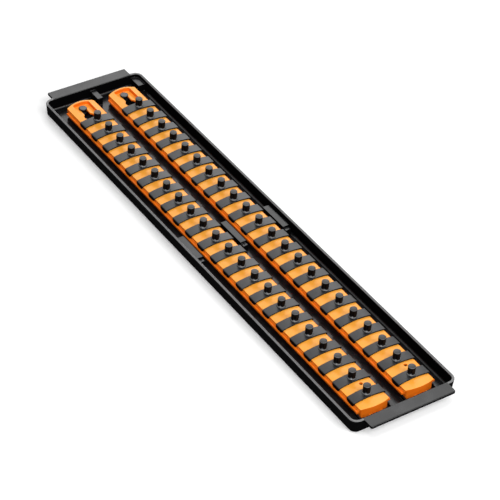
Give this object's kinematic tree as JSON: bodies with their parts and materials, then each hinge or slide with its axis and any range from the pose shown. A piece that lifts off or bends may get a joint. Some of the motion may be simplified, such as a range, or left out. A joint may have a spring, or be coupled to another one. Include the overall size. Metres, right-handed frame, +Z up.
{
  "type": "socket organizer drawer tray",
  "caption": "Long black drawer tray with two lift-out orange rails, each with a row of sliding press-on clips whose posts hold small-drive sockets.",
  "frame": {"origin": "centre of the footprint, on the surface that the tray stands on", "axes": "+X across the tray to the right, +Y along it to the end with the keyholes, +Z up"},
  "size_m": [0.0958, 0.4822, 0.0209],
  "materials": {
    "tray": "fine satin moulded black",
    "rail": "gloss moulded orange",
    "clip": "satin moulded dark grey",
    "stud": "satin moulded dark grey"
  },
  "bodies": {
    "tray_body": {"tray": "tray", "rail_stud_left": "stud", "rail_stud_right": "stud"},
    "rail_left_body": {"rail_left": "rail"},
    "rail_right_body": {"rail_right": "rail"},
    "clip_left_01_body": {"clip_left_01": "clip"},
    "clip_left_02_body": {"clip_left_02": "clip"},
    "clip_left_03_body": {"clip_left_03": "clip"},
    "clip_left_04_body": {"clip_left_04": "clip"},
    "clip_left_05_body": {"clip_left_05": "clip"},
    "clip_left_06_body": {"clip_left_06": "clip"},
    "clip_left_07_body": {"clip_left_07": "clip"},
    "clip_left_08_body": {"clip_left_08": "clip"},
    "clip_left_09_body": {"clip_left_09": "clip"},
    "clip_left_10_body": {"clip_left_10": "clip"},
    "clip_left_11_body": {"clip_left_11": "clip"},
    "clip_left_12_body": {"clip_left_12": "clip"},
    "clip_left_13_body": {"clip_left_13": "clip"},
    "clip_left_14_body": {"clip_left_14": "clip"},
    "clip_left_15_body": {"clip_left_15": "clip"},
    "clip_left_16_body": {"clip_left_16": "clip"},
    "clip_left_17_body": {"clip_left_17": "clip"},
    "clip_left_18_body": {"clip_left_18": "clip"},
    "clip_left_19_body": {"clip_left_19": "clip"},
    "clip_left_20_body": {"clip_left_20": "clip"},
    "clip_left_21_body": {"clip_left_21": "clip"},
    "clip_left_22_body": {"clip_left_22": "clip"},
    "clip_right_01_body": {"clip_right_01": "clip"},
    "clip_right_02_body": {"clip_right_02": "clip"},
    "clip_right_03_body": {"clip_right_03": "clip"},
    "clip_right_04_body": {"clip_right_04": "clip"},
    "clip_right_05_body": {"clip_right_05": "clip"},
    "clip_right_06_body": {"clip_right_06": "clip"},
    "clip_right_07_body": {"clip_right_07": "clip"},
    "clip_right_08_body": {"clip_right_08": "clip"},
    "clip_right_09_body": {"clip_right_09": "clip"},
    "clip_right_10_body": {"clip_right_10": "clip"},
    "clip_right_11_body": {"clip_right_11": "clip"},
    "clip_right_12_body": {"clip_right_12": "clip"},
    "clip_right_13_body": {"clip_right_13": "clip"},
    "clip_right_14_body": {"clip_right_14": "clip"},
    "clip_right_15_body": {"clip_right_15": "clip"},
    "clip_right_16_body": {"clip_right_16": "clip"},
    "clip_right_17_body": {"clip_right_17": "clip"},
    "clip_right_18_body": {"clip_right_18": "clip"},
    "clip_right_19_body": {"clip_right_19": "clip"},
    "clip_right_20_body": {"clip_right_20": "clip"},
    "clip_right_21_body": {"clip_right_21": "clip"},
    "clip_right_22_body": {"clip_right_22": "clip"}
  },
  "joints": [
    {"name": "rail_left_slide", "type": "slide", "parent": "tray_body", "child": "rail_left_body", "axis": [0, 1, 0], "range_m": [0, 0.0113]},
    {"name": "rail_right_slide", "type": "slide", "parent": "tray_body", "child": "rail_right_body", "axis": [0, 1, 0], "range_m": [0, 0.0113]},
    {"name": "clip_left_01_slide", "type": "slide", "parent": "rail_left_body", "child": "clip_left_01_body", "axis": [0, 1, 0], "range_m": [-0.0094, 0.0094]},
    {"name": "clip_left_02_slide", "type": "slide", "parent": "rail_left_body", "child": "clip_left_02_body", "axis": [0, 1, 0], "range_m": [-0.0094, 0.0094]},
    {"name": "clip_left_03_slide", "type": "slide", "parent": "rail_left_body", "child": "clip_left_03_body", "axis": [0, 1, 0], "range_m": [-0.0094, 0.0094]},
    {"name": "clip_left_04_slide", "type": "slide", "parent": "rail_left_body", "child": "clip_left_04_body", "axis": [0, 1, 0], "range_m": [-0.0094, 0.0094]},
    {"name": "clip_left_05_slide", "type": "slide", "parent": "rail_left_body", "child": "clip_left_05_body", "axis": [0, 1, 0], "range_m": [-0.0094, 0.0094]},
    {"name": "clip_left_06_slide", "type": "slide", "parent": "rail_left_body", "child": "clip_left_06_body", "axis": [0, 1, 0], "range_m": [-0.0094, 0.0094]},
    {"name": "clip_left_07_slide", "type": "slide", "parent": "rail_left_body", "child": "clip_left_07_body", "axis": [0, 1, 0], "range_m": [-0.0094, 0.0094]},
    {"name": "clip_left_08_slide", "type": "slide", "parent": "rail_left_body", "child": "clip_left_08_body", "axis": [0, 1, 0], "range_m": [-0.0094, 0.0094]},
    {"name": "clip_left_09_slide", "type": "slide", "parent": "rail_left_body", "child": "clip_left_09_body", "axis": [0, 1, 0], "range_m": [-0.0094, 0.0094]},
    {"name": "clip_left_10_slide", "type": "slide", "parent": "rail_left_body", "child": "clip_left_10_body", "axis": [0, 1, 0], "range_m": [-0.0094, 0.0094]},
    {"name": "clip_left_11_slide", "type": "slide", "parent": "rail_left_body", "child": "clip_left_11_body", "axis": [0, 1, 0], "range_m": [-0.0094, 0.0094]},
    {"name": "clip_left_12_slide", "type": "slide", "parent": "rail_left_body", "child": "clip_left_12_body", "axis": [0, 1, 0], "range_m": [-0.0094, 0.0094]},
    {"name": "clip_left_13_slide", "type": "slide", "parent": "rail_left_body", "child": "clip_left_13_body", "axis": [0, 1, 0], "range_m": [-0.0094, 0.0094]},
    {"name": "clip_left_14_slide", "type": "slide", "parent": "rail_left_body", "child": "clip_left_14_body", "axis": [0, 1, 0], "range_m": [-0.0094, 0.0094]},
    {"name": "clip_left_15_slide", "type": "slide", "parent": "rail_left_body", "child": "clip_left_15_body", "axis": [0, 1, 0], "range_m": [-0.0094, 0.0094]},
    {"name": "clip_left_16_slide", "type": "slide", "parent": "rail_left_body", "child": "clip_left_16_body", "axis": [0, 1, 0], "range_m": [-0.0094, 0.0094]},
    {"name": "clip_left_17_slide", "type": "slide", "parent": "rail_left_body", "child": "clip_left_17_body", "axis": [0, 1, 0], "range_m": [-0.0094, 0.0094]},
    {"name": "clip_left_18_slide", "type": "slide", "parent": "rail_left_body", "child": "clip_left_18_body", "axis": [0, 1, 0], "range_m": [-0.0094, 0.0094]},
    {"name": "clip_left_19_slide", "type": "slide", "parent": "rail_left_body", "child": "clip_left_19_body", "axis": [0, 1, 0], "range_m": [-0.0094, 0.0094]},
    {"name": "clip_left_20_slide", "type": "slide", "parent": "rail_left_body", "child": "clip_left_20_body", "axis": [0, 1, 0], "range_m": [-0.0094, 0.0094]},
    {"name": "clip_left_21_slide", "type": "slide", "parent": "rail_left_body", "child": "clip_left_21_body", "axis": [0, 1, 0], "range_m": [-0.0094, 0.0094]},
    {"name": "clip_left_22_slide", "type": "slide", "parent": "rail_left_body", "child": "clip_left_22_body", "axis": [0, 1, 0], "range_m": [-0.00495, 0.0094]},
    {"name": "clip_right_01_slide", "type": "slide", "parent": "rail_right_body", "child": "clip_right_01_body", "axis": [0, 1, 0], "range_m": [-0.0094, 0.0094]},
    {"name": "clip_right_02_slide", "type": "slide", "parent": "rail_right_body", "child": "clip_right_02_body", "axis": [0, 1, 0], "range_m": [-0.0094, 0.0094]},
    {"name": "clip_right_03_slide", "type": "slide", "parent": "rail_right_body", "child": "clip_right_03_body", "axis": [0, 1, 0], "range_m": [-0.0094, 0.0094]},
    {"name": "clip_right_04_slide", "type": "slide", "parent": "rail_right_body", "child": "clip_right_04_body", "axis": [0, 1, 0], "range_m": [-0.0094, 0.0094]},
    {"name": "clip_right_05_slide", "type": "slide", "parent": "rail_right_body", "child": "clip_right_05_body", "axis": [0, 1, 0], "range_m": [-0.0094, 0.0094]},
    {"name": "clip_right_06_slide", "type": "slide", "parent": "rail_right_body", "child": "clip_right_06_body", "axis": [0, 1, 0], "range_m": [-0.0094, 0.0094]},
    {"name": "clip_right_07_slide", "type": "slide", "parent": "rail_right_body", "child": "clip_right_07_body", "axis": [0, 1, 0], "range_m": [-0.0094, 0.0094]},
    {"name": "clip_right_08_slide", "type": "slide", "parent": "rail_right_body", "child": "clip_right_08_body", "axis": [0, 1, 0], "range_m": [-0.0094, 0.0094]},
    {"name": "clip_right_09_slide", "type": "slide", "parent": "rail_right_body", "child": "clip_right_09_body", "axis": [0, 1, 0], "range_m": [-0.0094, 0.0094]},
    {"name": "clip_right_10_slide", "type": "slide", "parent": "rail_right_body", "child": "clip_right_10_body", "axis": [0, 1, 0], "range_m": [-0.0094, 0.0094]},
    {"name": "clip_right_11_slide", "type": "slide", "parent": "rail_right_body", "child": "clip_right_11_body", "axis": [0, 1, 0], "range_m": [-0.0094, 0.0094]},
    {"name": "clip_right_12_slide", "type": "slide", "parent": "rail_right_body", "child": "clip_right_12_body", "axis": [0, 1, 0], "range_m": [-0.0094, 0.0094]},
    {"name": "clip_right_13_slide", "type": "slide", "parent": "rail_right_body", "child": "clip_right_13_body", "axis": [0, 1, 0], "range_m": [-0.0094, 0.0094]},
    {"name": "clip_right_14_slide", "type": "slide", "parent": "rail_right_body", "child": "clip_right_14_body", "axis": [0, 1, 0], "range_m": [-0.0094, 0.0094]},
    {"name": "clip_right_15_slide", "type": "slide", "parent": "rail_right_body", "child": "clip_right_15_body", "axis": [0, 1, 0], "range_m": [-0.0094, 0.0094]},
    {"name": "clip_right_16_slide", "type": "slide", "parent": "rail_right_body", "child": "clip_right_16_body", "axis": [0, 1, 0], "range_m": [-0.0094, 0.0094]},
    {"name": "clip_right_17_slide", "type": "slide", "parent": "rail_right_body", "child": "clip_right_17_body", "axis": [0, 1, 0], "range_m": [-0.0094, 0.0094]},
    {"name": "clip_right_18_slide", "type": "slide", "parent": "rail_right_body", "child": "clip_right_18_body", "axis": [0, 1, 0], "range_m": [-0.0094, 0.0094]},
    {"name": "clip_right_19_slide", "type": "slide", "parent": "rail_right_body", "child": "clip_right_19_body", "axis": [0, 1, 0], "range_m": [-0.0094, 0.0094]},
    {"name": "clip_right_20_slide", "type": "slide", "parent": "rail_right_body", "child": "clip_right_20_body", "axis": [0, 1, 0], "range_m": [-0.0094, 0.0094]},
    {"name": "clip_right_21_slide", "type": "slide", "parent": "rail_right_body", "child": "clip_right_21_body", "axis": [0, 1, 0], "range_m": [-0.0094, 0.0094]},
    {"name": "clip_right_22_slide", "type": "slide", "parent": "rail_right_body", "child": "clip_right_22_body", "axis": [0, 1, 0], "range_m": [-0.00495, 0.0094]}
  ]
}
